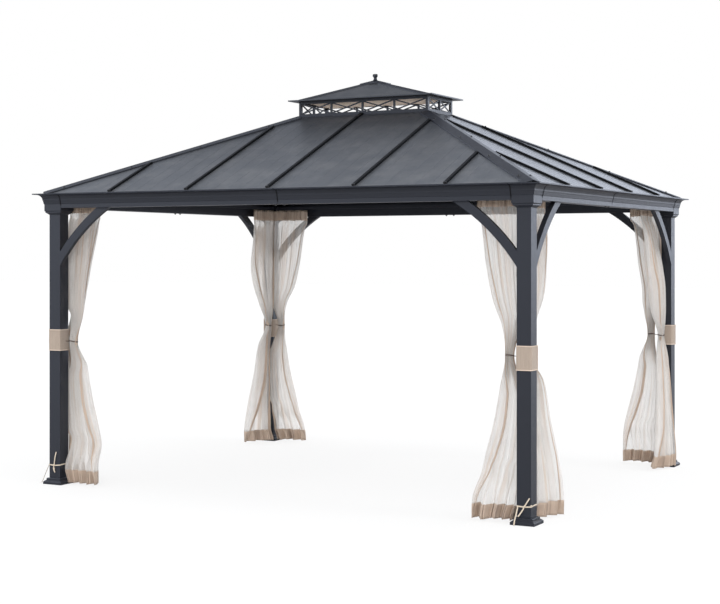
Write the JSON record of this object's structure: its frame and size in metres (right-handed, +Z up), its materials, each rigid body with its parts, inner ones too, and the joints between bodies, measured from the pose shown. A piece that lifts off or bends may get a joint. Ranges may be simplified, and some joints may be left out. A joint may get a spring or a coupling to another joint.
{
  "type": "hardtop gazebo",
  "caption": "Open steel gazebo with a moulded cornice, arched braces, a hipped standing-seam roof, a vented cupola and net curtains tied back at the posts.",
  "frame": {"origin": "middle of the plan at ground level, under the finial", "axes": "+X along the long side towards the right, +Y towards the back, +Z up"},
  "size_m": [3.658, 3.048, 2.8345],
  "materials": {
    "frame_coat": "satin",
    "roof_coat": "satin",
    "curtain_net": "matte",
    "binding": "matte",
    "vent_net": "matte",
    "tape": "matte"
  },
  "bodies": {
    "root": {"post_front_left": "frame_coat", "post_front_right": "frame_coat", "post_back_right": "frame_coat", "post_back_left": "frame_coat", "foot_front_left": "frame_coat", "foot_front_right": "frame_coat", "foot_back_right": "frame_coat", "foot_back_left": "frame_coat", "capital_front_left": "frame_coat", "capital_front_right": "frame_coat", "capital_back_right": "frame_coat", "capital_back_left": "frame_coat", "fascia_front": "frame_coat", "fascia_right": "frame_coat", "fascia_back": "frame_coat", "fascia_left": "frame_coat", "beam_front": "frame_coat", "beam_right": "frame_coat", "beam_back": "frame_coat", "beam_left": "frame_coat", "braces_front_left": "frame_coat", "braces_front_right": "frame_coat", "braces_back_right": "frame_coat", "braces_back_left": "frame_coat", "roof_front": "roof_coat", "roof_right": "roof_coat", "roof_back": "roof_coat", "roof_left": "roof_coat", "seams_front": "frame_coat", "seams_right": "frame_coat", "seams_back": "frame_coat", "seams_left": "frame_coat", "hip_caps": "frame_coat", "hip_rafters": "frame_coat", "curtain_rails": "frame_coat", "cupola_curb": "frame_coat", "cupola_lattice": "frame_coat", "vent_net": "vent_net", "top_roof": "roof_coat", "top_hip_caps": "frame_coat", "apex_cap": "frame_coat", "finial": "frame_coat", "cuffs": "binding", "curtains_front_left": "curtain_net", "curtains_front_right": "curtain_net", "curtains_back_right": "curtain_net", "curtains_back_left": "curtain_net", "tape_loops": "tape", "tape_end_right_a": "tape", "tape_end_right_b": "tape", "tape_end_left": "tape"}
  },
  "joints": []
}
